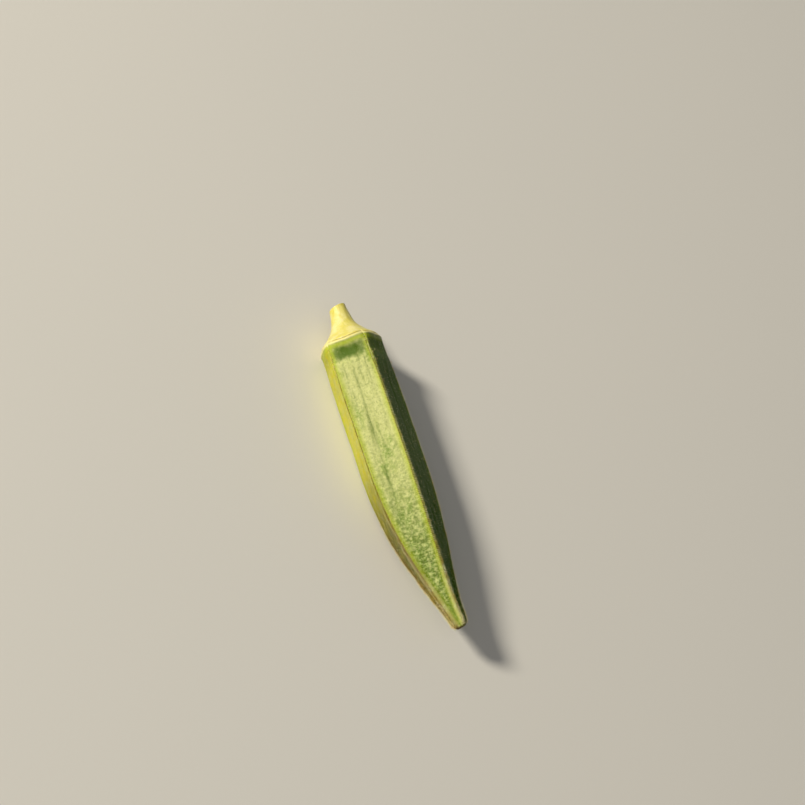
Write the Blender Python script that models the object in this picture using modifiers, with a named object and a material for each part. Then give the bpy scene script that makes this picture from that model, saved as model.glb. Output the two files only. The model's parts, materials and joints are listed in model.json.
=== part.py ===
"""A fresh okra pod, picked with a short stub of stem and lying on one of its five flats.

Standalone Blender 4.5 script: blender --background --python part.py
Metres, +Z up. The pod lies along X with the stem at -X and the tip at +X, and the
origin is on the surface that it rests on, under the middle of the pod.
"""

import math

import bmesh
import bpy
from mathutils import Vector

NAME = "okra_pod"

# Driving dimensions
POD_LENGTH = 0.0926  # rim of the cap to the tip
NECK_LENGTH = 0.0130  # cut end of the stem to the rim
POD_RADIUS = 0.01045  # axis to the crest of a ridge, where the pod is thickest
TIP_DRIFT = 0.0040  # how far the tip has bent away from the axis

# The five ridges, as degrees round the axis from the top one towards +Y
RIDGE_ANGLES = (0.0, 71.5, 144.0, 216.0, 288.5)
STEPS_PER_FLAT = 6  # cage points from one crest to the next
CREST_LIFT = 0.045  # makes up for what the subdivision takes off a crest

# The stem's cut slants, and the tip bends, towards this side
LEAN_ANGLE = math.radians(59.0)
LEAN = Vector((0.0, math.sin(LEAN_ANGLE), math.cos(LEAN_ANGLE)))
BEND_START = 0.47 * POD_LENGTH

# Stations of the neck: share of NECK_LENGTH before the rim, radius as a share of
# POD_RADIUS, how five-sided the section is, and the slope of the section's plane
NECK = (
    (1.000, 0.258, 0.00, -0.20),
    (0.923, 0.264, 0.00, -0.16),
    (0.815, 0.284, 0.00, -0.10),
    (0.708, 0.306, 0.00, -0.05),
    (0.585, 0.343, 0.00, 0.00),
    (0.477, 0.394, 0.00, 0.00),
    (0.369, 0.487, 0.05, 0.00),
    (0.262, 0.608, 0.15, 0.00),
    (0.169, 0.735, 0.30, 0.00),
    (0.085, 0.862, 0.52, 0.00),
)

# Stations of the pod: share of POD_LENGTH past the rim, radius as a share of
# POD_RADIUS, how five-sided the section is, and the hollow of its flats.
# The slight waist lets the pod rest on two spots of each lower ridge.
POD = (
    (0.000, 0.950, 0.78, 0.000),
    (0.014, 0.988, 0.93, 0.005),
    (0.030, 1.003, 1.00, 0.020),
    (0.048, 1.006, 1.00, 0.030),
    (0.070, 1.003, 1.00, 0.025),
    (0.103, 0.999, 1.00, 0.010),
    (0.153, 0.995, 1.00, 0.005),
    (0.234, 0.994, 1.00, 0.005),
    (0.316, 0.995, 1.00, 0.005),
    (0.397, 0.998, 1.00, 0.005),
    (0.459, 1.001, 1.00, 0.005),
    (0.541, 0.966, 1.00, 0.005),
    (0.602, 0.914, 1.00, 0.010),
    (0.663, 0.842, 1.00, 0.010),
    (0.725, 0.742, 1.00, 0.010),
    (0.786, 0.604, 1.00, 0.020),
    (0.847, 0.462, 1.00, 0.030),
    (0.903, 0.342, 1.00, 0.040),
    (0.954, 0.250, 1.00, 0.040),
    (0.988, 0.200, 0.95, 0.020),
    (1.000, 0.135, 0.80, 0.000),
)


def remove_all_objects():
    for obj in list(bpy.data.objects):
        bpy.data.objects.remove(obj, do_unlink=True)


def drift(along):
    """How far the axis has moved sideways at this distance past the rim, and its slope there."""
    span = POD_LENGTH - BEND_START
    share = max(0.0, (along - BEND_START) / span)
    return TIP_DRIFT * share**2, 2.0 * TIP_DRIFT * share / span


def section_point(ridge, step, radius, sided, hollow):
    """One point of a cross-section about the axis, from round (sided 0) to flat-sided (1)."""
    share = step / STEPS_PER_FLAT
    start = math.radians(RIDGE_ANGLES[ridge])
    turn = math.radians(RIDGE_ANGLES[(ridge + 1) % len(RIDGE_ANGLES)]) - start
    turn %= 2.0 * math.pi
    crests = [Vector((0.0, math.sin(a), math.cos(a))) for a in (start, start + turn)]
    angle = start + turn * share
    on_circle = Vector((0.0, math.sin(angle), math.cos(angle)))
    on_flat = crests[0].lerp(crests[1], share)
    if step == 0:
        on_flat *= 1.0 + CREST_LIFT
    on_flat *= 1.0 - hollow * math.sin(math.pi * share)
    return on_circle.lerp(on_flat, sided) * radius


def ring(bm, along, radius, sided, slope, hollow):
    """Adds one closed ring of vertices across the axis."""
    aside, bend = drift(along)
    centre = Vector((along, 0.0, 0.0)) + LEAN * aside
    verts = []
    for ridge in range(len(RIDGE_ANGLES)):
        for step in range(STEPS_PER_FLAT):
            point = section_point(ridge, step, radius, sided, hollow)
            point.x = (slope - bend) * point.dot(LEAN)
            verts.append(bm.verts.new(centre + point))
    return verts


def rings(bm):
    """All rings, from the cut end of the stem to the tip."""
    made = []
    for share, radius, sided, slope in NECK:
        made.append(ring(bm, -share * NECK_LENGTH, radius * POD_RADIUS, sided, slope, 0.0))
    for share, radius, sided, hollow in POD:
        made.append(ring(bm, share * POD_LENGTH, radius * POD_RADIUS, sided, 0.0, hollow))
    return made


def bridge(bm, first, second):
    """Joins two rings with a band of four-sided faces."""
    for i in range(len(first)):
        after = (i + 1) % len(first)
        bm.faces.new((first[i], first[after], second[after], second[i]))


def pod_cage():
    """The coarse cage of the whole pod: stem, cap and fruit grew as one piece."""
    bm = bmesh.new()
    made = rings(bm)
    for first, second in zip(made, made[1:]):
        bridge(bm, first, second)
    crease = bm.edges.layers.float.new("crease_edge")
    cut = bm.faces.new(reversed(made[0]))
    bm.faces.new(made[-1])
    for edge in cut.edges:
        edge[crease] = 1.0  # the knife's cut across the stem has a crisp edge
    bmesh.ops.recalc_face_normals(bm, faces=bm.faces[:])
    mesh = bpy.data.meshes.new(NAME)
    bm.to_mesh(mesh)
    bm.free()
    return mesh


def okra_material():
    material = bpy.data.materials.new("okra_skin")
    material.use_nodes = True
    shader = material.node_tree.nodes["Principled BSDF"]
    shader.inputs["Base Color"].default_value = (0.36, 0.47, 0.09, 1.0)
    shader.inputs["Roughness"].default_value = 0.55
    shader.inputs["Metallic"].default_value = 0.0
    return material


def set_down(pod):
    """Moves the pod so that it rests on Z = 0 with the origin under the middle of its box."""
    bpy.context.view_layer.update()
    evaluated = pod.evaluated_get(bpy.context.evaluated_depsgraph_get())
    mesh = evaluated.to_mesh()
    corners = [vert.co.copy() for vert in mesh.vertices]
    evaluated.to_mesh_clear()
    low = Vector([min(co[axis] for co in corners) for axis in range(3)])
    high = Vector([max(co[axis] for co in corners) for axis in range(3)])
    middle = (low + high) / 2.0
    pod.location = (-middle.x, -middle.y, -low.z)


def main():
    remove_all_objects()
    collection = bpy.data.collections.new("okra pod")
    bpy.context.scene.collection.children.link(collection)
    mesh = pod_cage()
    mesh.materials.append(okra_material())
    mesh.shade_smooth()
    pod = bpy.data.objects.new(NAME, mesh)
    collection.objects.link(pod)
    smooth = pod.modifiers.new("Soft skin", "SUBSURF")
    smooth.levels = 1
    smooth.render_levels = 1
    set_down(pod)


main()
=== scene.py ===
"""A fresh okra pod with a ridged, velvety skin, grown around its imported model.

The skin is modelled straight, along X, from one disc that is extruded ring by ring from the stem to the tip.
While it is still straight it gets its relief and its colour zones. Then it is bent and set down in the place
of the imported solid, and gets its hairs. Metres, +Z up, stem at -X, tip at +X.
"""

import json
import math

import bmesh
import bpy
import numpy as np
from mathutils import Matrix, Vector, noise

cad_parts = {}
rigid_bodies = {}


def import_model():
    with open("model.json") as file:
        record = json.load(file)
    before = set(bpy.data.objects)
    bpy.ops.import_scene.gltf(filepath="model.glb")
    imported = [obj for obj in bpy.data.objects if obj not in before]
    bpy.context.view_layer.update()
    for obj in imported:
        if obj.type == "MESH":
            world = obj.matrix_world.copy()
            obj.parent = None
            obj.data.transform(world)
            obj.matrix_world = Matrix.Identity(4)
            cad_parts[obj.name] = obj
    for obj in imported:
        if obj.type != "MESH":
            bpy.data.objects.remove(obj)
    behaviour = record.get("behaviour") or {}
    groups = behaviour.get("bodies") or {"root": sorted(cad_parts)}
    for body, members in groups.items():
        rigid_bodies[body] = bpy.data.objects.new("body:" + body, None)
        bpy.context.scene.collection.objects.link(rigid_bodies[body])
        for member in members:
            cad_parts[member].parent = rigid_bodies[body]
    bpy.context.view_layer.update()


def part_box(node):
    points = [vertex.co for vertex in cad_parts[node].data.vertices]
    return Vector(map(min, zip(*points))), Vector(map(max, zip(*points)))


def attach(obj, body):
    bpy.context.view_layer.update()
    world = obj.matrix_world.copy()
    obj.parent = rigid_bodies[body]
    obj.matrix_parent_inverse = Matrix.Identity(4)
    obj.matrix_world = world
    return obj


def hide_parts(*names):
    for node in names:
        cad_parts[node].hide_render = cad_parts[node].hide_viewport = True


bl_info = {
    "name": "Okra Pod",
    "version": (1, 0, 0),
    "blender": (4, 5, 0),
    "location": "3D View > Sidebar > Okra",
    "description": "Grows a fresh okra pod with a ridged, velvety skin and fine hairs",
    "category": "Add Mesh",
}

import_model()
NODE = "okra_pod"
NODE_LOW, NODE_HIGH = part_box(NODE)
MIDDLE = (NODE_LOW + NODE_HIGH) / 2.0

MM = 0.001
RIDGES = 5
RIDGE_TURN = math.radians(360 / RIDGES)
HALF_TURN = RIDGE_TURN / 2.0
# Shares of the way from one ridge to the next where the skin's cage has its points
COLUMNS = (0.0, 0.075, 0.25, 0.5, 0.75, 0.925)
RIDGE_LIFT = 1.026  # makes up for what the subdivision takes off a ridge

# The stem's cut slants, and the tip bends, towards this side
LEAN_ANGLE = math.radians(59.0)
LEAN = np.array((0.0, math.sin(LEAN_ANGLE), math.cos(LEAN_ANGLE)))

# The neck, as shares of its length before the rim: radius as a share of the pod's, how five-sided the
# section is, and the slope of its plane
NECK_OUTLINE = (
    (1.000, 0.258, 0.00, -0.20),
    (0.923, 0.264, 0.00, -0.16),
    (0.815, 0.284, 0.00, -0.10),
    (0.708, 0.306, 0.00, -0.05),
    (0.585, 0.343, 0.00, 0.00),
    (0.477, 0.394, 0.00, 0.00),
    (0.369, 0.487, 0.00, 0.00),
    (0.262, 0.608, 0.05, 0.00),
    (0.169, 0.735, 0.14, 0.00),
    (0.085, 0.862, 0.34, 0.00),
)
# The pod, as shares of its length past the rim: radius and five-sidedness again, and the hollow of its flats
POD_OUTLINE = (
    (0.000, 0.950, 0.72, 0.000),
    (0.014, 0.988, 0.90, 0.010),
    (0.030, 1.003, 0.98, 0.035),
    (0.048, 1.006, 1.00, 0.045),
    (0.070, 1.003, 1.00, 0.030),
    (0.103, 0.999, 1.00, 0.010),
    (0.153, 0.995, 1.00, 0.005),
    (0.316, 0.995, 1.00, 0.000),
    (0.397, 0.998, 1.00, 0.000),
    (0.459, 1.000, 1.00, 0.000),
    (0.541, 0.966, 1.00, 0.000),
    (0.602, 0.914, 1.00, 0.005),
    (0.663, 0.842, 1.00, 0.010),
    (0.725, 0.742, 1.00, 0.010),
    (0.786, 0.604, 1.00, 0.020),
    (0.847, 0.462, 1.00, 0.030),
    (0.903, 0.342, 1.00, 0.040),
    (0.954, 0.250, 1.00, 0.040),
    (0.988, 0.200, 0.95, 0.020),
    (1.000, 0.150, 0.80, 0.000),
)
# Stretches of the cage, as distances past the rim in millimetres, with the number of rings in each
RING_STRETCHES = (
    (-13.0, -2.2, 9),
    (-2.2, 2.4, 9),
    (2.4, 9.0, 4),
    (9.0, 74.0, 15),
    (74.0, 90.0, 6),
    (90.0, 92.6, 3),
)


# ---------------------------------------------------------------- settings


class OkraShape(bpy.types.PropertyGroup):
    """Sizes of the pod."""

    pod_length: bpy.props.FloatProperty(
        name="Pod length", description="Rim of the cap to the tip", default=92.6 * MM, min=0.02, unit="LENGTH"
    )
    neck_length: bpy.props.FloatProperty(
        name="Neck length", description="Cut end of the stem to the rim", default=13.0 * MM, min=0.002,
        unit="LENGTH",
    )
    radius: bpy.props.FloatProperty(
        name="Radius", description="Axis to a ridge where the pod is thickest", default=10.45 * MM, min=0.002,
        unit="LENGTH",
    )
    tip_drift: bpy.props.FloatProperty(
        name="Tip drift", description="How far the tip has bent aside", default=4.0 * MM, unit="LENGTH"
    )
    bend_start: bpy.props.FloatProperty(
        name="Bend start", description="Share of the pod's length where the bend begins", default=0.47,
        min=0.0, max=0.9, subtype="FACTOR",
    )
    fineness: bpy.props.IntProperty(
        name="Fineness", description="Subdivision level of the skin", default=3, min=1, max=3
    )


class OkraRelief(bpy.types.PropertyGroup):
    """Heights and depths of what shows on the skin."""

    rim_height: bpy.props.FloatProperty(
        name="Rim height", description="Raised line where the cap meets the pod", default=0.17 * MM,
        unit="LENGTH",
    )
    rim_groove: bpy.props.FloatProperty(
        name="Rim groove", description="Thin groove on the cap's side of the rim", default=0.12 * MM,
        unit="LENGTH",
    )
    seam_depth: bpy.props.FloatProperty(
        name="Seam depth", description="Seam that runs along each ridge", default=0.13 * MM, unit="LENGTH"
    )
    groove_depth: bpy.props.FloatProperty(
        name="Groove depth", description="Long shallow grooves along the flats", default=0.22 * MM,
        unit="LENGTH",
    )
    swelling: bpy.props.FloatProperty(
        name="Swelling", description="Uneven swelling over the seeds", default=0.13 * MM, unit="LENGTH"
    )
    wrinkle: bpy.props.FloatProperty(
        name="Wrinkle", description="Crosswise dimples near the tip", default=0.20 * MM, unit="LENGTH"
    )
    tip_rib: bpy.props.FloatProperty(
        name="Tip rib", description="Ribs that stand out near the tip", default=0.34 * MM, unit="LENGTH"
    )
    grain: bpy.props.FloatProperty(
        name="Grain", description="Fine grain over the whole skin", default=0.034 * MM, unit="LENGTH"
    )


def colour_property(name, description, default):
    """A display colour that the user can change."""
    return bpy.props.FloatVectorProperty(
        name=name, description=description, default=default, size=3, min=0.0, max=1.0, subtype="COLOR_GAMMA"
    )


class OkraColours(bpy.types.PropertyGroup):
    """Display colours of the pod's zones."""

    leaf: colour_property("Leaf green", "Main green of the flats", (0.69, 0.73, 0.36))
    pale: colour_property("Pale green", "Waxy pale patches on the flats", (0.83, 0.84, 0.57))
    cool: colour_property("Cool green", "Cooler patches on the flats", (0.55, 0.65, 0.30))
    # Deep green of the grooves, streaks and mottling; in the hollow under the rim it is painted shade
    deep: colour_property("Deep green", "Grooves and the hollow under the rim", (0.30, 0.41, 0.01))
    # Painted shade: the darker green painted on the flats that face away from the key light
    dark: colour_property("Dark green", "The side that grew in the shade", (0.21, 0.34, 0.01))
    ridge: colour_property("Ridge green", "Bright band along each ridge", (0.67, 0.73, 0.06))
    olive: colour_property("Olive", "Yellowed skin beside the side seam", (0.80, 0.77, 0.12))
    straw: colour_property("Straw", "Pale lines beside the seams", (0.84, 0.76, 0.42))
    # Seam brown also paints the tip's scar, there partly its own colour and partly painted shade
    seam: colour_property("Seam brown", "The seams themselves", (0.40, 0.25, 0.08))
    umber: colour_property("Umber", "Dull brown of the side flat near the tip", (0.25, 0.22, 0.05))
    tan: colour_property("Tan", "Felt of hairs along the ridges near the tip", (0.48, 0.36, 0.15))
    cream: colour_property("Cream", "Lightest skin of the cap", (0.94, 0.91, 0.66))
    yellow: colour_property("Yellow", "Yellow skin of the cap and stem", (0.84, 0.79, 0.14))
    flesh: colour_property("Flesh", "Cut face of the stem", (0.90, 0.88, 0.68))
    hair: colour_property("Hair", "The fine hairs", (0.95, 0.92, 0.74))


class OkraHairs(bpy.types.PropertyGroup):
    """The fine hairs."""

    ridge_count: bpy.props.IntProperty(
        name="Ridge hairs", description="Hairs along the ridges", default=9000, min=0, max=20000
    )
    flat_count: bpy.props.IntProperty(
        name="Flat hairs", description="Shorter hairs everywhere else", default=5000, min=0, max=20000
    )
    length: bpy.props.FloatProperty(
        name="Length", description="Longest hair", default=0.85 * MM, unit="LENGTH"
    )
    thickness: bpy.props.FloatProperty(
        name="Thickness", description="Radius of a hair at its root", default=0.050 * MM, unit="LENGTH"
    )


class OkraStage(bpy.types.PropertyGroup):
    """Floor, lights and camera."""

    floor_size: bpy.props.FloatProperty(
        name="Floor size", description="Side of the floor", default=6.0, min=0.5, unit="LENGTH"
    )
    key_power: bpy.props.FloatProperty(
        name="Key power", description="Main light, from the stem's side", default=62.0, min=0.0, unit="POWER"
    )
    fill_power: bpy.props.FloatProperty(
        name="Fill power", description="Broad light from above", default=3.0, min=0.0, unit="POWER"
    )
    sky: bpy.props.FloatProperty(
        name="Sky", description="Strength of the even surrounding light", default=0.17, min=0.0
    )
    distance: bpy.props.FloatProperty(
        name="Camera distance", description="Camera to the middle of the pod", default=0.564, min=0.1,
        unit="LENGTH",
    )


class OkraSettings(bpy.types.PropertyGroup):
    """All the settings of the pod and its stage."""

    shape: bpy.props.PointerProperty(name="Shape", description="Sizes of the pod", type=OkraShape)
    relief: bpy.props.PointerProperty(name="Relief", description="Heights on the skin", type=OkraRelief)
    colours: bpy.props.PointerProperty(name="Colours", description="Colours of the pod", type=OkraColours)
    hairs: bpy.props.PointerProperty(name="Hairs", description="The fine hairs", type=OkraHairs)
    stage: bpy.props.PointerProperty(name="Stage", description="Floor, lights and camera", type=OkraStage)


# ---------------------------------------------------------------- curves and noise


def ramp(values, start, end):
    """Rises smoothly from 0 at start to 1 at end."""
    share = np.clip((values - start) / (end - start), 0.0, 1.0)
    return share * share * (3.0 - 2.0 * share)


def bell(values, centre, width):
    """A soft bump: 1 at the centre, a third of that at its width."""
    return np.exp(-(((values - centre) / width) ** 2))


def between(angles, first, second):
    """1 on a stretch round the pod with a soft edge at either end, each given by two angles in degrees."""
    first, second = np.radians(first), np.radians(second)
    return ramp(angles, *first) * ramp(angles, *second)


def smooth_curve(at, places, heights):
    """Reads a smooth curve that passes through all the points of an outline."""
    slopes = np.gradient(heights, places)
    index = np.clip(np.searchsorted(places, at) - 1, 0, len(places) - 2)
    span = places[index + 1] - places[index]
    share = np.clip((at - places[index]) / span, 0.0, 1.0)
    first, second = heights[index], heights[index + 1]
    lead, trail = slopes[index] * span, slopes[index + 1] * span
    return (
        first * (1 + 2 * share) * (1 - share) ** 2
        + lead * share * (1 - share) ** 2
        + second * share**2 * (3 - 2 * share)
        + trail * share**2 * (share - 1)
    )


def outline(shape):
    """Distances past the rim, and the radius, sidedness, slope and hollow there."""
    stations = [
        (-share * shape.neck_length, radius, sided, slope, 0.0)
        for share, radius, sided, slope in NECK_OUTLINE
    ]
    stations += [
        (share * shape.pod_length, radius, sided, 0.0, hollow)
        for share, radius, sided, hollow in POD_OUTLINE
    ]
    places, radii, sided, slopes, hollows = np.array(stations).T
    return places, radii * shape.radius, sided, slopes, hollows


SEED_SHIFT = (17.3, 3.1)  # how far noises with different seeds are read apart
SMALLEST_RADIUS = 2.5 * MM


class Skin:
    """Where each point of the straight pod lies: along it, round it, and from its nearest ridge.

    across runs from -1 to 1 between two ridges, and flat numbers the five flats from the top ridge on.
    """

    def __init__(self, points, shape):
        places, radii, _, slopes, _ = outline(shape)
        self.along = points[:, 0]
        self.around = np.arctan2(points[:, 1], points[:, 2])
        self.radius = smooth_curve(np.clip(self.along, places[0], places[-1]), places, radii)
        self.slope = np.interp(self.along, places, slopes)
        chord = 2.0 * self.radius * math.sin(HALF_TURN)
        turned = np.mod(self.around, RIDGE_TURN)
        share = 0.5 + 0.5 * np.tan(turned - HALF_TURN) / math.tan(HALF_TURN)
        self.flat = np.floor(np.mod(self.around, 2 * math.pi) / RIDGE_TURN).astype(int) % RIDGES
        self.across = 2.0 * share - 1.0
        self.from_ridge = np.where(share < 0.5, share, share - 1.0) * chord

    def noise(self, along, across, seed):
        """Noise that runs round the pod without a seam. The two sizes are those of its lumps."""
        scale = self.mean_radius() / across
        x = self.along / along + SEED_SHIFT[0] * seed
        y = np.sin(self.around) * scale + SEED_SHIFT[1] * seed
        z = np.cos(self.around) * scale
        return np.array([noise.noise(point) for point in zip(x, y, z)])

    def mean_radius(self):
        """The radius, kept from getting so small that a division by it goes wild."""
        return np.maximum(self.radius, SMALLEST_RADIUS)


# ---------------------------------------------------------------- modelling helpers


def deselect_all():
    """Leaves nothing selected or active, because operators act on all that is."""
    for obj in bpy.context.view_layer.objects:
        obj.select_set(False)
    bpy.context.view_layer.objects.active = None


def select_points(obj, wanted):
    """Selects the edit mesh's vertices for which wanted(position) is true."""
    mesh = bmesh.from_edit_mesh(obj.data)
    for face in mesh.faces:
        face.select_set(False)
    for edge in mesh.edges:
        edge.select_set(False)
    for vert in mesh.verts:
        vert.select_set(bool(wanted(vert.co)))
    mesh.select_flush(True)
    bmesh.update_edit_mesh(obj.data)


def apply_modifier(obj, kind, **values):
    """Adds a modifier with these settings to the active object and applies it."""
    modifier = obj.modifiers.new(kind.title(), kind)
    for name, value in values.items():
        setattr(modifier, name, value)
    bpy.ops.object.modifier_apply(modifier=modifier.name)


def positions(mesh):
    """The mesh's points, as an array."""
    points = np.empty(len(mesh.vertices) * 3, np.float32)
    mesh.vertices.foreach_get("co", points)
    return points.reshape(-1, 3).astype(float)


def set_positions(mesh, points):
    """Moves the mesh's points to these places."""
    mesh.vertices.foreach_set("co", points.astype(np.float32).ravel())
    mesh.update()


def normals(mesh):
    """The mesh's normals at its points, as an array."""
    directions = np.empty(len(mesh.vertices) * 3, np.float32)
    mesh.vertices.foreach_get("normal", directions)
    return directions.reshape(-1, 3).astype(float)


def add_zone(mesh, name, values):
    """Stores one number at each point of the mesh, for its material."""
    mesh.attributes.new(name, "FLOAT", "POINT")
    mesh.attributes[name].data.foreach_set("value", values.astype(np.float32))


def zone_values(mesh, name):
    """Reads a zone back from the mesh."""
    values = np.empty(len(mesh.vertices), np.float32)
    mesh.attributes[name].data.foreach_get("value", values)
    return values.astype(float)


# ---------------------------------------------------------------- the cage

SAME_PLACE = 0.02 * MM  # points nearer than this along the pod are in one ring
JUST_BEFORE_TOP = 1e-4  # radians, so that the top ridge's points come first
# The end faces' insets in millimetres, each with how far it is then pushed along +X
SCAR_STEPS = ((0.35, -0.10), (0.45, -0.12))
CUT_STEPS = ((0.16, 0.0), (1.15, 0.10))


def column_of(point):
    """The number of the cage's column that a point is in, counted from its ridge."""
    turned = math.atan2(point.y, point.z) % RIDGE_TURN
    share = 0.5 + 0.5 * math.tan(turned - HALF_TURN) / math.tan(HALF_TURN)
    gaps = [min(abs(share - at), abs(share - 1.0 - at)) for at in COLUMNS]
    return gaps.index(min(gaps))


def in_ring(point, place):
    return abs(point.x - place) < SAME_PLACE


def start_ring(radius, place):
    """Adds the stem's cut end as one disc whose points lie in the cage's columns."""
    count = len(COLUMNS) * RIDGES
    bpy.ops.mesh.primitive_circle_add(
        vertices=count, radius=radius, fill_type="NGON", location=(place, 0, 0), rotation=(0, -math.pi / 2, 0)
    )
    disc = bpy.context.object
    disc.name = "okra_skin"
    bpy.ops.object.transform_apply(location=True, rotation=True, scale=True)
    mesh = disc.data
    points = positions(mesh)
    order = np.argsort(np.mod(np.arctan2(points[:, 1], points[:, 2]) + JUST_BEFORE_TOP, 2 * math.pi))
    for rank, index in enumerate(order):
        ridge, column = divmod(rank, len(COLUMNS))
        swing = math.atan((2.0 * COLUMNS[column] - 1.0) * math.tan(HALF_TURN)) + HALF_TURN
        angle = ridge * RIDGE_TURN + swing
        points[index, 1:] = (radius * math.sin(angle), radius * math.cos(angle))
    set_positions(mesh, points)
    return disc


def section_radius(column, sided, hollow):
    """Radius of a column's point, as a share of the section's, from round to five-sided."""
    share = COLUMNS[column]
    on_flat = math.cos(HALF_TURN) / math.cos(math.atan((2.0 * share - 1.0) * math.tan(HALF_TURN)))
    if column == 0:
        on_flat *= RIDGE_LIFT
    on_flat *= 1.0 - hollow * math.sin(math.pi * share)
    return 1.0 + sided * (on_flat - 1.0)


def ring_places():
    """Where the cage's rings lie past the rim, from the stem's cut end to the tip."""
    places = [RING_STRETCHES[0][0]]
    for start, end, count in RING_STRETCHES:
        places += [start + (end - start) * (step + 1) / count for step in range(count)]
    return np.array(places) * MM


def grow_cage(shape):
    """Extrudes the disc ring by ring, and gives each ring its radius and its five sides."""
    places = ring_places()
    at, radii, sided, _, hollows = outline(shape)
    ring_radius = smooth_curve(places, at, radii)
    ring_sided = np.interp(places, at, sided)
    ring_hollow = np.interp(places, at, hollows)
    cage = start_ring(ring_radius[0], places[0])
    columns = range(len(COLUMNS))
    shares = [section_radius(column, 0.0, 0.0) for column in columns]
    bpy.ops.object.mode_set(mode="EDIT")
    bpy.ops.mesh.select_all(action="SELECT")
    for i in range(1, len(places)):
        place = places[i]
        bpy.ops.mesh.extrude_region_move(TRANSFORM_OT_translate={"value": (place - places[i - 1], 0.0, 0.0)})
        for column in columns:
            share = section_radius(column, ring_sided[i], ring_hollow[i])
            factor = share / shares[column] * ring_radius[i] / ring_radius[i - 1]
            shares[column] = share
            select_points(cage, lambda point: in_ring(point, place) and column_of(point) == column)
            bpy.ops.transform.resize(value=(1.0, factor, factor), center_override=(place, 0.0, 0.0))
        select_points(cage, lambda point: in_ring(point, place))
    finish_ends(cage, places)
    bpy.ops.object.mode_set(mode="OBJECT")
    put_in_order(cage.data)
    return cage


def put_in_order(mesh):
    """Rebuilds the cage with its points and faces in a fixed order, so that every run grows the same hairs.

    The points go ring by ring, and round each ring from the top.
    """
    points = positions(mesh)
    turns = np.mod(np.arctan2(points[:, 1], points[:, 2]) + JUST_BEFORE_TOP, 2 * math.pi)
    from_axis = np.hypot(points[:, 1], points[:, 2])
    order = np.lexsort((from_axis, np.round(turns, 2), np.round(points[:, 0] / MM, 2)))
    rank = np.argsort(order)
    faces = []
    for face in mesh.polygons:
        corners = [int(rank[index]) for index in face.vertices]
        first = corners.index(min(corners))
        faces.append(corners[first:] + corners[:first])
    mesh.clear_geometry()
    mesh.from_pydata(points[order].tolist(), [], sorted(faces))
    mesh.update()


def finish_ends(cage, places):
    """Insets the cut face of the stem, with a slight dish for the pith, and the scar at the tip."""
    bpy.ops.mesh.select_mode(type="FACE")
    for place, steps in ((places[-1], SCAR_STEPS), (places[0], CUT_STEPS)):
        mesh = bmesh.from_edit_mesh(cage.data)
        for face in mesh.faces:
            face.select_set(len(face.verts) > 4 and abs(face.calc_center_median().x - place) < 0.1 * MM)
        bmesh.update_edit_mesh(cage.data)
        for inset, push in steps:
            bpy.ops.mesh.inset(thickness=inset * MM)
            bpy.ops.transform.translate(value=(push * MM, 0.0, 0.0))
    bpy.ops.mesh.select_all(action="SELECT")
    bpy.ops.mesh.normals_make_consistent(inside=False)


# ---------------------------------------------------------------- the skin

# Each long groove: the flat it is on, its place across the flat from -1 to 1, its half width in millimetres
# and its strength
GROOVES = (
    (4, -0.20, 0.85, 0.65),
    (4, -0.12, 0.35, 0.45),
    (4, 0.24, 0.55, 0.40),
    (4, -0.60, 0.40, 0.35),
    (4, 0.62, 0.35, 0.25),
    (0, -0.05, 0.70, 0.8),
    (0, 0.45, 0.40, 0.4),
    (1, 0.10, 0.75, 0.8),
    (1, -0.45, 0.40, 0.4),
    (2, -0.08, 0.70, 0.7),
    (3, 0.05, 0.75, 0.8),
    (3, -0.50, 0.40, 0.4),
)
RIM_SCALLOP = 0.55 * MM  # how far the rim reaches down the middle of each flat
RIM_WAVER = 0.14 * MM
RIM_WIDTH = 0.42 * MM
RIM_GROOVE_PLACE = -0.75 * MM
RIM_GROOVE_WIDTH = 0.22 * MM
HOLLOW_PLACE = 4.3 * MM  # the hollow that crosses each flat under the rim
HOLLOW_LENGTH = 2.6 * MM
HOLLOW_DEPTH = 0.50 * MM
SEAM_PLACE = 0.16 * MM  # from the crest of its ridge
SEAM_WANDER = 0.10 * MM
SEAM_WIDTH = 0.17 * MM
LIP_PLACE = 0.48 * MM  # the seam's raised lips, from its middle
LIP_WIDTH = 0.20 * MM
LIP_HEIGHT = 0.07 * MM
RIB_WIDTH = 0.62 * MM
FURROW_PLACE = 1.30 * MM  # the furrows beside a rib, from its crest
FURROW_WIDTH = 0.38 * MM
FIBRE_HEIGHT = 0.05 * MM
PLEAT_HEIGHT = 0.10 * MM
DIMPLE_HEIGHT = 0.07 * MM
CAP_UNEVENNESS = 0.06 * MM
KNOT_HEIGHT = 0.25 * MM  # a small knot on the side ridge
KNOT_PLACE = 66.6 * MM
KNOT_LENGTH = 0.9 * MM
KNOT_ANGLE = -1.29
KNOT_SPREAD = 0.10
SHOULDER_SOFTNESS = 2.3 * MM
SHOULDER_SWELL = 0.90 * MM


def flat_grooves(skin):
    """How much of a long groove each point of the flats holds, from 0 up."""
    grooves = np.zeros(len(skin.along))
    window = ramp(skin.along, 6 * MM, 14 * MM) * (1.0 - ramp(skin.along, 60 * MM, 74 * MM))
    for flat, place, width, strength in GROOVES:
        wander = 0.10 * np.sin(skin.along / (17 * MM) + 2.1 * flat + 5.0 * place)
        gap = (skin.across - place - wander) * skin.radius * math.sin(HALF_TURN)
        fading = 0.65 + 0.35 * np.sin(skin.along / (9 * MM) + 4.0 * place + flat)
        grooves += np.where(skin.flat == flat, strength * bell(gap, 0.0, width * MM) * fading, 0.0)
    return grooves * window


def seam_gap(skin):
    """Signed distance from the seam, which runs just beside the crest of each ridge and wanders a little."""
    wander = SEAM_WANDER * np.sin(skin.along / (13 * MM) + 1.7 * np.round(skin.around / RIDGE_TURN))
    return skin.from_ridge - SEAM_PLACE - wander


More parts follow.
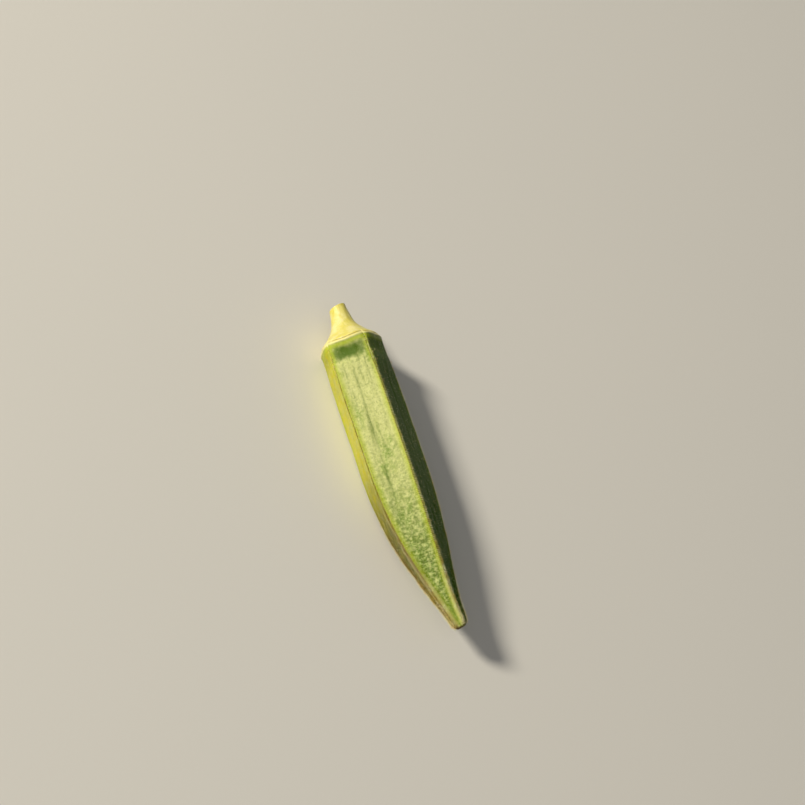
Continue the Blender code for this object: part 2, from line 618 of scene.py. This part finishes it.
def round_shoulders(points, skin):
    """Rounds the ridges off where they come out of the cap. The flat that the pod rests on stays flat."""
    turned = np.mod(skin.around, RIDGE_TURN) - HALF_TURN
    to_circle = skin.radius * (np.cos(turned) / math.cos(HALF_TURN) - 1.0)
    off_bottom = ramp(np.abs(skin.around), math.radians(165), math.radians(125))
    near_rim = ramp(skin.along, -2.5 * MM, 0.6 * MM) * (1.0 - ramp(skin.along, 4 * MM, 17 * MM))
    gap = np.abs(skin.from_ridge)
    blunt = math.tan(HALF_TURN) * (gap - np.hypot(gap, SHOULDER_SOFTNESS)) + SHOULDER_SWELL
    swell = (0.34 * to_circle + 0.9 * blunt * bell(gap, 0.0, 4 * MM)) * near_rim * off_bottom
    points[:, 1:] *= 1.0 + (swell / skin.mean_radius())[:, None]
    return points


class Marks:
    """Where the skin's features lie, worked out for every point of the straight pod."""

    def __init__(self, skin):
        along = skin.along
        self.seam = seam_gap(skin)
        self.off_seam = np.abs(self.seam)
        self.on_pod = ramp(along, 0.5 * MM, 3.0 * MM)
        self.on_flat = ramp(np.abs(skin.from_ridge), 0.4 * MM, 1.6 * MM)
        scallop = RIM_SCALLOP * (1.0 - skin.across**2)
        self.rim = along - scallop - RIM_WAVER * skin.noise(5 * MM, 3.5 * MM, 1)
        self.grooves = flat_grooves(skin)
        self.hollow = bell(along, HOLLOW_PLACE, HOLLOW_LENGTH) * (1.0 - np.abs(skin.across) ** 3.5)
        self.lower = ramp(along, 26 * MM, 62 * MM) * (1.0 - ramp(along, 78 * MM, 88 * MM))
        self.tip = ramp(along, 66 * MM, 82 * MM) * (1.0 - ramp(along, 91.4 * MM, 92.4 * MM))
        self.shoulder = self.on_pod * (1.0 - ramp(along, 8 * MM, 24 * MM))


def relief_height(skin, marks, shape, relief):
    """How far each point of the straight pod is raised along its normal."""
    patches = skin.noise(7 * MM, 3.2 * MM, 2)
    fibres = skin.noise(9 * MM, 0.75 * MM, 3)
    fine_fibres = skin.noise(4 * MM, 0.38 * MM, 4)
    dimples = skin.noise(1.1 * MM, 1.7 * MM, 5)
    pores = skin.noise(0.8 * MM, 0.6 * MM, 6)
    lumps = skin.noise(6.5 * MM, 6 * MM, 7)
    pleats = skin.noise(16 * MM, 1.1 * MM, 8)
    on_pod, on_flat = marks.on_pod, marks.on_flat

    height = relief.rim_height * bell(marks.rim, 0.0, RIM_WIDTH) * (0.85 + 0.5 * patches)
    height -= relief.rim_groove * bell(marks.rim, RIM_GROOVE_PLACE, RIM_GROOVE_WIDTH)
    height -= HOLLOW_DEPTH * marks.hollow * (0.9 + 0.5 * pleats)
    height += relief.swelling * lumps * on_pod
    height -= relief.groove_depth * marks.grooves
    height += FIBRE_HEIGHT * fibres * on_pod * on_flat
    height += PLEAT_HEIGHT * pleats * marks.shoulder * on_flat
    height += relief.wrinkle * dimples * marks.lower * on_flat
    height += DIMPLE_HEIGHT * dimples * on_flat * on_pod
    height += relief.grain * (pores + fine_fibres)
    height -= relief.seam_depth * bell(marks.off_seam, 0.0, SEAM_WIDTH) * on_pod
    height += LIP_HEIGHT * bell(marks.off_seam, LIP_PLACE, LIP_WIDTH) * on_pod
    height += relief.tip_rib * bell(skin.from_ridge, 0.0, RIB_WIDTH) * marks.tip
    height -= 0.6 * relief.tip_rib * bell(np.abs(skin.from_ridge), FURROW_PLACE, FURROW_WIDTH) * marks.tip
    height += CAP_UNEVENNESS * skin.noise(3 * MM, 1.6 * MM, 9) * (1.0 - on_pod)
    knot = bell(skin.along, KNOT_PLACE, KNOT_LENGTH)
    height += KNOT_HEIGHT * knot * bell(skin.around, KNOT_ANGLE, KNOT_SPREAD)
    height *= ramp(skin.along, -shape.neck_length, -shape.neck_length + 0.4 * MM)
    return height


def store_zones(mesh, skin, marks, shape):
    """Stores the colour zones that the skin's material and the hairs read, in millimetres or from 0 to 1."""
    points, along = positions(mesh), skin.along
    facing = normals(mesh)[:, 0]
    near_seam = 1.0 - ramp(marks.off_seam, 2.6 * MM, 3.4 * MM)
    # Painted shade: the flats turned away from the key light, about 7 to 140 degrees round, are marked to be
    # painted darker, the second of them a little less
    painted_shade_side = between(skin.around, (0.5, 7), (165, 140))
    painted_shade_side *= 1.0 - 0.35 * ramp(skin.around, math.radians(66), math.radians(82))
    add_zone(mesh, "along", along / MM)
    add_zone(mesh, "rim", marks.rim / MM)
    add_zone(mesh, "off_seam", marks.off_seam / MM)
    add_zone(mesh, "turn", np.clip(marks.seam / (0.25 * MM), -1.0, 1.0) * near_seam)
    add_zone(mesh, "side", between(skin.around, (-69, -74), (-162, -150)))
    add_zone(mesh, "groove", np.clip(marks.grooves, 0.0, 1.0))
    # The hollow under the rim, where the material paints shade
    add_zone(mesh, "hollow", np.clip(marks.hollow, 0.0, 1.0))
    add_zone(mesh, "shaded", painted_shade_side)
    add_zone(mesh, "cut", ramp(-facing, 0.80, 0.97) * (along < -shape.neck_length + 0.3 * MM))
    from_axis = np.hypot(points[:, 1], points[:, 2])
    add_zone(mesh, "cut_share", from_axis / (NECK_OUTLINE[0][1] * shape.radius))
    # The tip's scar, which the material paints brown, partly as painted shade
    add_zone(mesh, "scar", ramp(facing, 0.50, 0.85) * (along > shape.pod_length - 1.4 * MM))


def shape_skin(mesh, shape, relief):
    """Rounds the straight pod's shoulders, gives it its relief along its normals and stores its zones."""
    points = positions(mesh)
    skin = Skin(points, shape)
    set_positions(mesh, round_shoulders(points, skin))
    marks = Marks(skin)
    height = relief_height(skin, marks, shape, relief)
    set_positions(mesh, positions(mesh) + normals(mesh) * height[:, None])
    store_zones(mesh, skin, marks, shape)
    return skin


def lean_and_bend(mesh, shape, skin):
    """Slopes the stem's cut end, bends the tip aside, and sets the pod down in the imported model's place."""
    points = positions(mesh)
    start = shape.bend_start * shape.pod_length
    span = shape.pod_length - start
    share = np.maximum(0.0, (points[:, 0] - start) / span)
    aside = shape.tip_drift * share**2
    bend = 2.0 * shape.tip_drift * share / span
    points[:, 0] += (skin.slope - bend) * (points @ LEAN)
    points += aside[:, None] * LEAN
    low, high = points.min(axis=0), points.max(axis=0)
    shift = np.array(MIDDLE) - (low + high) / 2.0
    shift[2] = NODE_LOW.z - low[2]
    set_positions(mesh, points + shift)


class OKRA_OT_skin(bpy.types.Operator):
    """Grow the pod's skin: stem, cap and fruit in one piece"""

    bl_idname = "okra.skin"
    bl_label = "Grow skin"

    def execute(self, context):
        settings = context.scene.okra
        deselect_all()
        pod = grow_cage(settings.shape)
        apply_modifier(
            pod, "SUBSURF", levels=settings.shape.fineness, render_levels=settings.shape.fineness
        )
        skin = shape_skin(pod.data, settings.shape, settings.relief)
        lean_and_bend(pod.data, settings.shape, skin)
        pod.data.shade_smooth()
        pod.data.materials.append(skin_material(settings.colours))
        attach(pod, "root")
        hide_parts(NODE)
        return {"FINISHED"}


# ---------------------------------------------------------------- the hairs

HAIR_SEED = 11
HAIRY_FROM, HAIRY_TO = -11.5, 92.2  # where hairs grow, in millimetres past the rim
ROOT_DEPTH = 0.03 * MM  # how deep a hair stands in the skin
FLAT_SHARE = 0.45  # length of a flat's hair, as a share of a ridge's
SPREAD = 0.28  # how far hairs lean off the normal
TIPWARD_LEAN = 0.22
BOX_MARGIN = 0.025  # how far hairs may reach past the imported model, as a share of its size
FLOOR_GAP = 0.1 * MM
BARE_BELOW = 1.2 * MM  # skin that faces down stays bare up to this height
SHORTEST_HAIR = 0.06 * MM


def hair_shape(thickness):
    """One hair of unit length, standing on the origin: a closed, three-sided cone."""
    deselect_all()
    bpy.ops.mesh.primitive_cone_add(
        vertices=3, radius1=thickness, radius2=0.0, depth=1.0, end_fill_type="TRIFAN", location=(0, 0, 0.5)
    )
    cone = bpy.context.object
    bpy.ops.object.transform_apply(location=True)
    bpy.ops.object.mode_set(mode="EDIT")
    bpy.ops.mesh.select_all(action="SELECT")
    bpy.ops.mesh.quads_convert_to_tris()
    bpy.ops.object.mode_set(mode="OBJECT")
    points = positions(cone.data)
    faces = np.array([list(face.vertices) for face in cone.data.polygons])
    bpy.data.objects.remove(cone)
    return points, faces


def point_areas(mesh):
    """Roughly how much skin each point stands for."""
    areas = np.zeros(len(mesh.vertices))
    face_areas = np.empty(len(mesh.polygons), np.float32)
    mesh.polygons.foreach_get("area", face_areas)
    corner_points = np.empty(len(mesh.loops), np.int32)
    mesh.loops.foreach_get("vertex_index", corner_points)
    sizes = np.empty(len(mesh.polygons), np.int32)
    mesh.polygons.foreach_get("loop_total", sizes)
    np.add.at(areas, corner_points, np.repeat(face_areas / sizes, sizes))
    return areas


def chosen_roots(rng, weights, count):
    """Picks that many different points, the heavier ones more often."""
    return rng.choice(len(weights), size=count, replace=False, p=weights / weights.sum())


def hair_roots(rng, mesh, hairs):
    """Picks the points that grow a hair, on the ridges and elsewhere. None is under the pod."""
    points, outward = positions(mesh), normals(mesh)
    along, off_seam = zone_values(mesh, "along"), zone_values(mesh, "off_seam")
    clear = (points[:, 2] > NODE_LOW.z + BARE_BELOW) | (outward[:, 2] > 0.2)
    reach = clear * point_areas(mesh) * (along > HAIRY_FROM) * (along < HAIRY_TO)
    on_ridge = bell(off_seam, 0.0, 0.6) * ramp(along, 0.0, 3.0)
    ridge = chosen_roots(rng, reach * on_ridge * (0.35 + ramp(along, 20.0, 85.0)), hairs.ridge_count)
    flat = chosen_roots(rng, reach * (0.3 + ramp(along, 40.0, 80.0)), hairs.flat_count)
    return ridge, flat


def hair_directions(rng, outward):
    """Each hair leans off the normal, mostly towards the tip."""
    leaning = outward + rng.normal(0.0, SPREAD, outward.shape)
    leaning[:, 0] += TIPWARD_LEAN
    return leaning / np.linalg.norm(leaning, axis=1)[:, None]


def room_along(starts, directions):
    """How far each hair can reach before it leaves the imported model's box by more than a little."""
    margin = BOX_MARGIN * np.array(NODE_HIGH - NODE_LOW)
    low, high = np.array(NODE_LOW) - margin, np.array(NODE_HIGH) + margin
    low[2] = NODE_LOW.z + FLOOR_GAP
    steep = np.where(np.abs(directions) < 1e-4, 1e-4, directions)
    room = np.maximum((low - starts) / steep, (high - starts) / steep).min(axis=1)
    return np.maximum(room, SHORTEST_HAIR)


def frames_along(directions):
    """Two directions across each hair."""
    helper = np.where(np.abs(directions[:, 2:3]) < 0.8, (0.0, 0.0, 1.0), (0.0, 1.0, 0.0))
    side = np.cross(helper, directions)
    side /= np.linalg.norm(side, axis=1)[:, None]
    return side, np.cross(directions, side)


def hair_mesh(starts, directions, lengths, thickness):
    """Copies the one hair to every root, as one mesh of closed cones."""
    points, faces = hair_shape(thickness)
    side, other = frames_along(directions)
    placed = (
        starts[:, None]
        + points[None, :, 0:1] * side[:, None]
        + points[None, :, 1:2] * other[:, None]
        + points[None, :, 2:3] * directions[:, None] * lengths[:, None, None]
    )
    offsets = np.arange(len(starts))[:, None, None] * len(points)
    mesh = bpy.data.meshes.new("okra_hairs")
    mesh.from_pydata(placed.reshape(-1, 3), [], (faces[None] + offsets).reshape(-1, faces.shape[1]).tolist())
    mesh.update()
    return mesh


class OKRA_OT_hairs(bpy.types.Operator):
    """Set fine hairs on the ridges and, shorter, on the flats"""

    bl_idname = "okra.hairs"
    bl_label = "Grow hairs"

    def execute(self, context):
        settings = context.scene.okra
        hairs = settings.hairs
        skin = bpy.data.objects["okra_skin"].data
        rng = np.random.default_rng(HAIR_SEED)
        ridge, flat = hair_roots(rng, skin, hairs)
        on_ridge = hairs.length * rng.uniform(0.35, 1.0, len(ridge))
        on_flat = FLAT_SHARE * hairs.length * rng.uniform(0.3, 1.0, len(flat))
        roots = np.concatenate((ridge, flat))
        outward = normals(skin)[roots]
        directions = hair_directions(rng, outward)
        starts = positions(skin)[roots] - ROOT_DEPTH * outward
        lengths = np.minimum(np.concatenate((on_ridge, on_flat)), room_along(starts, directions))
        mesh = hair_mesh(starts, directions, lengths, hairs.thickness)
        tuft = bpy.data.objects.new("okra_hairs", mesh)
        context.scene.collection.objects.link(tuft)
        mesh.materials.append(hair_material(settings.colours))
        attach(tuft, "root")
        return {"FINISHED"}


# ---------------------------------------------------------------- materials


class Wire:
    """The output of a shader node. Arithmetic on it adds Math nodes."""

    def __init__(self, shader, socket):
        self.shader = shader
        self.socket = socket

    def maths(self, operation, first, second=0.0):
        return self.shader.add("ShaderNodeMath", {"operation": operation}, {0: first, 1: second})

    def __add__(self, other):
        return self.maths("ADD", self, other)

    def __sub__(self, other):
        return self.maths("SUBTRACT", self, other)

    def __rsub__(self, other):
        return self.maths("SUBTRACT", other, self)

    def __mul__(self, other):
        return self.maths("MULTIPLY", self, other)

    def __abs__(self):
        return self.maths("ABSOLUTE", self)

    __radd__ = __add__
    __rmul__ = __mul__

    def rise(self, start, end):
        """From 0 at start to 1 at end, smoothly, and the other way where end is lower."""
        low, high = min(start, end), max(start, end)
        to = {3: 0.0, 4: 1.0} if start < end else {3: 1.0, 4: 0.0}
        settings = {"interpolation_type": "SMOOTHSTEP"}
        return self.shader.add("ShaderNodeMapRange", settings, {0: self, 1: low, 2: high, **to})

    def near(self, centre, width):
        """1 at the centre, falling to 0 at that width on either side."""
        return abs(self - centre).rise(width, 0.0)


class Shader:
    """A material's node tree, built by expressions."""

    def __init__(self, name):
        self.material = bpy.data.materials.new(name)
        self.material.use_nodes = True
        self.tree = self.material.node_tree
        self.surface = self.tree.nodes["Principled BSDF"]

    def add(self, kind, settings, inputs, output=0):
        """Adds a node, sets it up, feeds its sockets and returns one of its outputs."""
        node = self.tree.nodes.new(kind)
        for name, value in settings.items():
            setattr(node, name, value)
        for name, value in inputs.items():
            self.feed(node.inputs[name], value)
        return Wire(self, node.outputs[output])

    def feed(self, socket, value):
        """Links a wire to a socket, or sets the socket to a value."""
        if isinstance(value, Wire):
            self.tree.links.new(value.socket, socket)
        else:
            socket.default_value = value

    def zone(self, name):
        """A number that is stored on the mesh."""
        return self.add("ShaderNodeAttribute", {"attribute_name": name}, {}, "Fac")

    def mix(self, factor, first, second):
        """The first colour where the factor is 0, the second where it is 1."""
        return self.add("ShaderNodeMix", {"data_type": "RGBA"}, {0: factor, 6: first, 7: second}, 2)

    def place(self, stretch=(1.0, 1.0, 1.0)):
        """Object coordinates. A stretch below 1 draws a pattern out in that direction."""
        place = self.add("ShaderNodeTexCoord", {}, {}, "Object")
        return self.add("ShaderNodeMapping", {}, {"Vector": place, "Scale": stretch})

    def noise(self, size, stretch=(1.0, 1.0, 1.0), detail=3.0, roughness=0.55):
        """Soft noise around 0.5 whose lumps have that size in metres."""
        place = self.place(stretch)
        inputs = {"Vector": place, "Scale": 1.0 / size, "Detail": detail, "Roughness": roughness}
        return self.add("ShaderNodeTexNoise", {"noise_dimensions": "3D"}, inputs)

    def bump(self, height, distance, strength):
        """A normal that makes the height, from 0 to 1, look as high as the distance."""
        return self.add("ShaderNodeBump", {}, {"Strength": strength, "Distance": distance, "Height": height})

    def finish(self, **sockets):
        """Feeds the surface's sockets, named with an underscore for each space, and returns the material."""
        for name, value in sockets.items():
            self.feed(self.surface.inputs[name.replace("_", " ")], value)
        return self.material


def linear(colour):
    """A display colour as the linear RGBA that a shader takes."""
    steps = [c / 12.92 if c <= 0.04045 else ((c + 0.055) / 1.055) ** 2.4 for c in colour]
    return (*steps, 1.0)


LONGWAYS = (0.12, 1.0, 1.0)  # draws a pattern out along the pod


class SkinPattern:
    """The zones and the noises that the skin's colours share."""

    def __init__(self, shader):
        self.along = shader.zone("along")
        self.rim = shader.zone("rim")
        self.off_seam = shader.zone("off_seam")
        # Where the material paints shade in the hollow under the rim
        self.hollow = shader.zone("hollow")
        self.side = shader.zone("side")
        # Where the material paints shade on the side turned away from the key light
        self.shaded = shader.zone("shaded")
        turn = shader.zone("turn")
        self.before_seam = turn.rise(0.3, -0.7)
        self.after_seam = turn.rise(-0.3, 0.7)
        self.soft = shader.noise(2.4 * MM)
        self.grain = shader.noise(0.30 * MM, detail=4.0, roughness=0.65)
        self.fibre = shader.noise(0.45 * MM, LONGWAYS)


def flat_colour(shader, tint, on):
    """Softly mottled greens of the flats, with long streaks, deep grooves and a fine grain."""
    patches = shader.noise(6.0 * MM, (0.45, 1.0, 1.0), 2.0)
    clouds = shader.noise(1.7 * MM, (0.7, 1.0, 1.0), 3.0, 0.65)
    grains = shader.noise(0.62 * MM, (0.8, 1.0, 1.0), 4.0, 0.75)
    crumples = shader.noise(1.15 * MM, (1.5, 1.0, 1.0), 3.0, 0.7)
    streaks = shader.noise(1.0 * MM, LONGWAYS)
    lower = on.along.rise(32.0, 80.0)

    pale = (0.40 * patches + 0.35 * clouds).rise(0.15, 0.43)
    colour = shader.mix(pale * 0.90, tint["leaf"], tint["pale"])
    cool = patches.rise(0.54, 0.36) * clouds.rise(0.64, 0.40) + 0.072
    colour = shader.mix(cool * 0.75, colour, tint["cool"])
    colour = shader.mix(streaks.rise(0.52, 0.70) * 0.40 * on.along.rise(60.0, 8.0), colour, tint["deep"])
    colour = shader.mix(lower * 0.72, colour, tint["cool"])
    colour = shader.mix(crumples.rise(0.58, 0.40) * (0.14 + 0.66 * lower), colour, tint["deep"])
    colour = shader.mix(crumples.rise(0.52, 0.64) * 0.55, colour, tint["pale"])
    colour = shader.mix(grains.rise(0.52, 0.64) * 0.50, colour, tint["pale"])
    colour = shader.mix(grains.rise(0.48, 0.36) * 0.36, colour, tint["deep"])
    groove = shader.zone("groove") * (0.15 + 0.65 * streaks.rise(0.35, 0.65))
    return shader.mix(groove, colour, tint["deep"])


def pod_colour(shader, tint, on):
    """The fruit: a side and a hollow under the rim in painted shade, a yellowed side that browns towards the
    tip, and bright ridges.
    """
    colour = flat_colour(shader, tint, on)
    # Painted shade: the flats turned away from the key light are painted darker green
    colour = shader.mix(on.shaded * (0.86 + 0.16 * on.fibre), colour, tint["dark"])
    colour = shader.mix(on.side * (0.45 + 0.5 * on.soft.rise(0.3, 0.7)), colour, tint["olive"])
    # Painted shade: deep green in the hollow under the rim's bulge, weaker on the side flat
    hollow = (on.hollow + 0.9 * (on.soft - 0.5)).rise(0.10, 0.95)
    colour = shader.mix(hollow * (1.0 - 0.8 * on.side), colour, tint["deep"])
    # Bright band along each ridge, left out on the painted-shade side
    ridge = on.off_seam.rise(2.3, 0.2) * (1.0 - 0.9 * on.shaded) * (0.55 + 0.55 * on.soft)
    colour = shader.mix(ridge * 0.85, colour, tint["ridge"])
    # Pale ribs near the tip, left out on the painted-shade side
    rib = on.off_seam.rise(1.3, 0.3) * on.along.rise(72.0, 82.0) * (0.75 - 0.75 * on.shaded)
    colour = shader.mix(rib * (1.0 - 0.8 * on.side), colour, tint["pale"])
    browned = on.side * on.along.rise(30.0, 64.0) * (0.60 + 0.40 * on.fibre.rise(0.35, 0.6))
    return shader.mix(browned * 0.92, colour, tint["umber"])


def felt_cover(on):
    """Where the skin is felted with hairs: beside the side flat's ridges near the tip, and on the seams."""
    near_tip = on.along.rise(40.0, 74.0)
    felt = on.off_seam.rise(3.0, 1.4) * near_tip * on.side
    felt = felt + on.off_seam.rise(0.5, 0.2) * near_tip * 0.4
    beside = on.off_seam.rise(2.2, 1.0) * on.off_seam.rise(0.15, 0.40)
    felt = felt + beside * on.after_seam * on.shaded * 0.22
    return felt * on.grain.rise(0.32, 0.56)


def seam_colour(shader, tint, on, colour, felt):
    """Adds the brown seams, the pale lines beside them, the furrows and the felt."""
    straw = on.off_seam.near(0.45, 0.32) * on.soft.rise(0.30, 0.55) * on.before_seam
    straw = straw * on.along.rise(66.0, 30.0) * (0.35 + 0.45 * on.side)
    colour = shader.mix(straw, colour, tint["straw"])
    furrow = on.off_seam.near(1.35, 0.45) * on.along.rise(60.0, 76.0) * (1.0 - 0.7 * on.side)
    colour = shader.mix(furrow * 0.35, colour, tint["deep"])
    colour = shader.mix(felt * 0.75, colour, tint["tan"])
    reach = on.along.rise(5.0, 14.0) * on.along.rise(84.0, 66.0)
    brown = on.off_seam.rise(0.24, 0.08) * reach * (0.5 + 0.5 * on.soft.rise(0.3, 0.6))
    return shader.mix(brown * 0.9, colour, tint["seam"])


def cap_colour(shader, tint, on):
    """The cap and the stem: cream and yellow, with a few green fibres, yellower at the cut, and yellower as
    painted shade on the side away from the key light.
    """
    cap = shader.mix(0.22 + on.soft.rise(0.36, 0.64) * 0.45, tint["cream"], tint["yellow"])
    # Painted shade: the cap is yellower, less cream, on the side turned away from the key light
    cap = shader.mix(on.shaded * 0.25, cap, tint["yellow"])
    cap = shader.mix(on.fibre.rise(0.52, 0.72) * 0.25, cap, tint["leaf"])
    return shader.mix(on.along.rise(-9.6, -12.4) * 0.45, cap, tint["yellow"])


def rim_colour(shader, tint, on, colour):
    """Puts the cap above the rim, with a bright band below it that is partly painted light, and a brown line
    in the groove above it.
    """
    # Partly painted light: a yellow-green band on the bulge just below the rim, where it faces the light,
    # fainter on the painted-shade side
    band = on.rim.near(0.9, 1.3) * (0.6 + 0.3 * on.soft) * (1.0 - 0.5 * on.shaded)
    colour = shader.mix(band, colour, tint["ridge"])
    colour = shader.mix(on.rim.rise(0.25, -0.35), colour, cap_colour(shader, tint, on))
    # A cream line on the rim's lip, weakened by painted shade on the side away from the key light
    colour = shader.mix(on.rim.near(0.0, 0.6) * (0.65 - 0.3 * on.shaded), colour, tint["cream"])
    return shader.mix(on.rim.near(-0.75, 0.30) * on.soft.rise(0.32, 0.58) * 0.7, colour, tint["tan"])


def cut_colour(shader, tint, on):
    """The stem's cut face: pale flesh with a green ring, a tan edge and a straw pith."""
    share = shader.zone("cut_share")
    flesh = shader.mix(share.near(0.66, 0.13) * on.grain.rise(0.40, 0.60), tint["flesh"], tint["leaf"])
    flesh = shader.mix(share.rise(0.88, 0.97), flesh, tint["tan"])
    return shader.mix(share.rise(0.22, 0.10) * 0.5, flesh, tint["straw"])


def skin_material(colours):
    """Cream cap, green flats, bright ridges with brown seams, tan felt near the tip."""
    shader = Shader("okra_skin")
    tint = {name: linear(getattr(colours, name)) for name in OkraColours.__annotations__}
    on = SkinPattern(shader)
    felt = felt_cover(on)
    colour = pod_colour(shader, tint, on)
    colour = seam_colour(shader, tint, on, colour, felt)
    colour = rim_colour(shader, tint, on, colour)
    colour = shader.mix(shader.zone("cut"), colour, cut_colour(shader, tint, on))
    # The scar at the tip: seam brown, partly the scar's own colour and partly painted shade on the blunt end
    colour = shader.mix(shader.zone("scar") * 0.9, colour, tint["seam"])

    on_pod = on.rim.rise(0.5, 1.6)
    roughness = 0.50 + 0.16 * on.grain + 0.10 * felt - 0.14 * (1.0 - on_pod)
    pores = shader.noise(0.7 * MM)
    height = 0.5 * on.grain + 0.35 * on.fibre * on_pod + 0.5 * pores * on_pod
    return shader.finish(
        Base_Color=colour,
        Roughness=roughness,
        Normal=shader.bump(height, 0.16 * MM, 0.9),
        Coat_Weight=0.5 * (1.0 - on_pod),
        Coat_Roughness=0.34,
        Specular_IOR_Level=0.22,
        Subsurface_Weight=0.08,
        Subsurface_Radius=(0.9, 1.0, 0.25),
        Subsurface_Scale=0.6 * MM,
        Sheen_Weight=0.03,
        Sheen_Roughness=0.4,
        Sheen_Tint=(0.90, 1.0, 0.60, 1.0),
    )


def hair_material(colours):
    """Fine pale hairs, some of them straw-coloured."""
    shader = Shader("okra_hairs")
    straw = shader.noise(3.0 * MM).rise(0.40, 0.65)
    colour = shader.mix(straw, linear(colours.hair), linear(colours.straw))
    return shader.finish(Base_Color=colour, Roughness=0.55, Subsurface_Weight=0.2, Subsurface_Scale=0.3 * MM)


def floor_material():
    """Plain pale studio paper."""
    shader = Shader("floor")
    clouds = shader.noise(0.25, detail=2.0)
    colour = shader.mix(clouds, linear((0.88, 0.87, 0.85)), linear((0.86, 0.855, 0.84)))
    grit = shader.noise(1.5 * MM)
    return shader.finish(
        Base_Color=colour, Roughness=0.75 + 0.1 * grit, Normal=shader.bump(grit, 0.05 * MM, 0.3)
    )


# ---------------------------------------------------------------- the stage

PITCH = math.radians(16.0)  # the camera stands this far towards the tip from square on to the axis
ROUND = math.radians(31.0)  # and this far round the axis from above, towards -Y
TILT = math.radians(19.0)  # the pod's axis leans this far off upright in the picture
AIM_RIGHT = 3.1 * MM  # what the camera aims at, from the pod's middle
AIM_UP = 18.2 * MM
LENS, SENSOR = 85.0, 36.0  # in millimetres, as Blender's cameras take them
KEY_FROM = Vector((-0.50, -0.70, 0.51))
KEY_DISTANCE, KEY_SIZE = 2.4, 0.45
KEY_COLOUR = (1.0, 0.93, 0.78)
FILL_FROM = Vector((0.25, -0.35, 1.0))
FILL_DISTANCE, FILL_SIZE = 2.0, 1.6
FILL_COLOUR = (1.0, 0.98, 0.94)
SKY_COLOUR = (1.0, 0.985, 0.95, 1.0)


def camera_axes():
    """The picture's right and up, and the direction from the pod to the camera."""
    over = Vector((0.0, -math.sin(ROUND), math.cos(ROUND)))
    beside = Vector((0.0, math.cos(ROUND), math.sin(ROUND)))
    back = math.sin(PITCH) * Vector((1, 0, 0)) + math.cos(PITCH) * over
    down = math.cos(PITCH) * Vector((1, 0, 0)) - math.sin(PITCH) * over
    right = math.sin(TILT) * down + math.cos(TILT) * beside
    up = -math.cos(TILT) * down + math.sin(TILT) * beside
    return right, up, back


def add_area_light(name, direction, distance, size, power, colour):
    """Adds a round lamp that shines at the pod from that direction."""
    light = bpy.data.lights.new(name, "AREA")
    light.shape = "DISK"
    light.size = size
    light.energy = power
    light.color = colour
    lamp = bpy.data.objects.new(name, light)
    bpy.context.scene.collection.objects.link(lamp)
    lamp.location = MIDDLE + direction.normalized() * distance
    lamp.rotation_euler = direction.to_track_quat("Z", "Y").to_euler()


def add_camera(distance):
    """Adds the camera at that distance from the pod and turns it to where it aims."""
    right, up, back = camera_axes()
    camera = bpy.data.objects.new("camera", bpy.data.cameras.new("camera"))
    bpy.context.scene.collection.objects.link(camera)
    camera.data.lens = LENS
    camera.data.sensor_width = SENSOR
    camera.location = MIDDLE + back * distance
    aim = MIDDLE + AIM_RIGHT * right + AIM_UP * up
    backward = (camera.location - aim).normalized()
    across = up.cross(backward).normalized()
    turn = (across, backward.cross(across), backward)
    camera.rotation_euler = Matrix(turn).transposed().to_euler()
    bpy.context.scene.camera = camera


class OKRA_OT_stage(bpy.types.Operator):
    """Add the pale floor, the soft lights and the camera"""

    bl_idname = "okra.stage"
    bl_label = "Set stage"

    def execute(self, context):
        stage = context.scene.okra.stage
        deselect_all()
        bpy.ops.mesh.primitive_plane_add(size=stage.floor_size, location=(0.0, 0.0, NODE_LOW.z))
        floor = bpy.context.object
        floor.name = "floor"
        floor.data.materials.append(floor_material())
        add_area_light("key", KEY_FROM, KEY_DISTANCE, KEY_SIZE, stage.key_power, KEY_COLOUR)
        add_area_light("fill", FILL_FROM, FILL_DISTANCE, FILL_SIZE, stage.fill_power, FILL_COLOUR)
        world = bpy.data.worlds.new("soft studio")
        world.use_nodes = True
        background = world.node_tree.nodes["Background"]
        background.inputs["Color"].default_value = SKY_COLOUR
        background.inputs["Strength"].default_value = stage.sky
        context.scene.world = world
        context.scene.view_settings.view_transform = "Standard"
        add_camera(stage.distance)
        return {"FINISHED"}


class OKRA_PT_panel(bpy.types.Panel):
    """Grow an okra pod piece by piece"""

    bl_idname = "OKRA_PT_panel"
    bl_label = "Okra Pod"
    bl_space_type = "VIEW_3D"
    bl_region_type = "UI"
    bl_category = "Okra"

    def draw(self, context):
        settings = context.scene.okra
        for groups, operator in (
            ((settings.shape, settings.relief, settings.colours), "okra.skin"),
            ((settings.hairs,), "okra.hairs"),
            ((settings.stage,), "okra.stage"),
        ):
            box = self.layout.box()
            for group in groups:
                for name in group.__annotations__:
                    box.prop(group, name)
            box.operator(operator)


CLASSES = (
    OkraShape,
    OkraRelief,
    OkraColours,
    OkraHairs,
    OkraStage,
    OkraSettings,
    OKRA_OT_skin,
    OKRA_OT_hairs,
    OKRA_OT_stage,
    OKRA_PT_panel,
)


def register():
    """Registers the classes and the scene's settings."""
    for cls in CLASSES:
        bpy.utils.register_class(cls)
    bpy.types.Scene.okra = bpy.props.PointerProperty(type=OkraSettings)


def unregister():
    """Takes the settings and the classes away again."""
    del bpy.types.Scene.okra
    for cls in reversed(CLASSES):
        bpy.utils.unregister_class(cls)


def main():
    """Grows the pod on its stage."""
    register()
    bpy.ops.okra.skin()
    bpy.ops.okra.hairs()
    bpy.ops.okra.stage()


if __name__ == "__main__":
    main()
